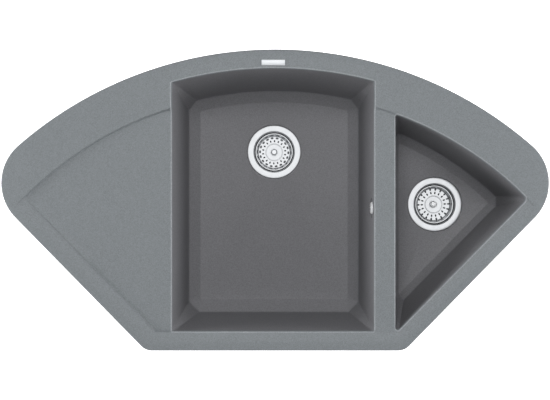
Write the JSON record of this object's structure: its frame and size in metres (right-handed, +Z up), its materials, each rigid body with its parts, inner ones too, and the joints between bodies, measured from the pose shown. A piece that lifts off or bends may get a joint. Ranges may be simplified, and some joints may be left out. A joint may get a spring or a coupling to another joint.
{
  "type": "corner kitchen sink",
  "caption": "Corner kitchen sink in moulded composite with a main bowl, a triangular half bowl, a drainer, basket wastes, overflow, trap and worktop clips.",
  "frame": {"origin": "middle of the front edge's seat face, on the worktop surface, 5 mm behind the front edge", "axes": "+X along the front edge to the right, +Y back into the room's corner, +Z up out of the worktop"},
  "size_m": [1.0608, 0.5834, 0.4696],
  "materials": {
    "composite": "fine matt grain, moulded quartz composite, mid grey",
    "stainless": "satin to polished stainless steel",
    "chrome": "polished chrome",
    "badge": "plain satin plate with nothing on it",
    "zinc_steel": "bright zinc-plated pressed steel",
    "rubber": "matt black rubber",
    "white_plastic": "white moulded polypropylene",
    "grey_plastic": "grey corrugated polyethylene hose"
  },
  "bodies": {
    "root": {"sink_body": "composite", "rim_seal": "rubber", "badge_plate": "badge", "main_strainer_cup": "stainless", "main_flange_seal": "rubber", "main_waste_housing": "white_plastic", "main_housing_seal": "rubber", "main_clamp_screw": "stainless", "main_tail_washer": "rubber", "main_tail_nut": "white_plastic", "half_strainer_cup": "stainless", "half_flange_seal": "rubber", "half_waste_housing": "white_plastic", "half_housing_seal": "rubber", "half_clamp_screw": "stainless", "half_tail_washer": "rubber", "half_tail_nut": "white_plastic", "waste_tee": "white_plastic", "branch_pipe": "white_plastic", "branch_nut": "white_plastic", "trap_inlet_nut": "white_plastic", "trap_body": "white_plastic", "trap_cup": "white_plastic", "outlet_nut": "white_plastic", "outlet_pipe": "white_plastic", "overflow_elbow": "white_plastic", "hose_top_nut": "white_plastic", "hose_port_nut": "white_plastic", "trap_seal": "rubber", "overflow_seal": "rubber", "overflow_cap": "chrome", "overflow_screw": "chrome", "overflow_hose": "grey_plastic", "clip_screw_1": "zinc_steel", "clip_screw_2": "zinc_steel", "clip_screw_3": "zinc_steel", "clip_screw_4": "zinc_steel", "clip_screw_5": "zinc_steel", "clip_screw_6": "zinc_steel", "clip_screw_7": "zinc_steel", "clip_screw_8": "zinc_steel"},
    "main_basket": {"main_basket": "stainless", "main_basket_plug": "rubber", "main_basket_post": "stainless", "main_basket_knob": "chrome"},
    "half_basket": {"half_basket": "stainless", "half_basket_plug": "rubber", "half_basket_post": "stainless", "half_basket_knob": "chrome"},
    "clip_1": {"clip_claw_1": "zinc_steel"},
    "clip_2": {"clip_claw_2": "zinc_steel"},
    "clip_3": {"clip_claw_3": "zinc_steel"},
    "clip_4": {"clip_claw_4": "zinc_steel"},
    "clip_5": {"clip_claw_5": "zinc_steel"},
    "clip_6": {"clip_claw_6": "zinc_steel"},
    "clip_7": {"clip_claw_7": "zinc_steel"},
    "clip_8": {"clip_claw_8": "zinc_steel"}
  },
  "joints": [
    {"name": "main_basket_lift", "type": "slide", "parent": "root", "child": "main_basket", "axis": [0, 0, 1], "range_m": [0, 0.24]},
    {"name": "half_basket_lift", "type": "slide", "parent": "root", "child": "half_basket", "axis": [0, 0, 1], "range_m": [0, 0.21]},
    {"name": "clip_1_turn", "type": "hinge", "parent": "root", "child": "clip_1", "pos_m": [-0.26619, 0.065, -0.0425], "axis": [0, 0, 1], "range_deg": [-90, 90]},
    {"name": "clip_2_turn", "type": "hinge", "parent": "root", "child": "clip_2", "pos_m": [-0.36419, 0.165, -0.0425], "axis": [0, 0, 1], "range_deg": [-90, 90]},
    {"name": "clip_3_turn", "type": "hinge", "parent": "root", "child": "clip_3", "pos_m": [-0.46218, 0.265, -0.0425], "axis": [0, 0, 1], "range_deg": [-90, 90]},
    {"name": "clip_4_turn", "type": "hinge", "parent": "root", "child": "clip_4", "pos_m": [-0.445, 0.38642, -0.0425], "axis": [0, 0, 1], "range_deg": [-90, 90]},
    {"name": "clip_5_turn", "type": "hinge", "parent": "root", "child": "clip_5", "pos_m": [-0.29, 0.47941, -0.0425], "axis": [0, 0, 1], "range_deg": [-90, 90]},
    {"name": "clip_6_turn", "type": "hinge", "parent": "root", "child": "clip_6", "pos_m": [0.275, 0.48581, -0.0425], "axis": [0, 0, 1], "range_deg": [-90, 90]},
    {"name": "clip_7_turn", "type": "hinge", "parent": "root", "child": "clip_7", "pos_m": [0.355, 0.4468, -0.0425], "axis": [0, 0, 1], "range_deg": [-90, 90]},
    {"name": "clip_8_turn", "type": "hinge", "parent": "root", "child": "clip_8", "pos_m": [0.435, 0.39414, -0.0425], "axis": [0, 0, 1], "range_deg": [-90, 90]}
  ]
}
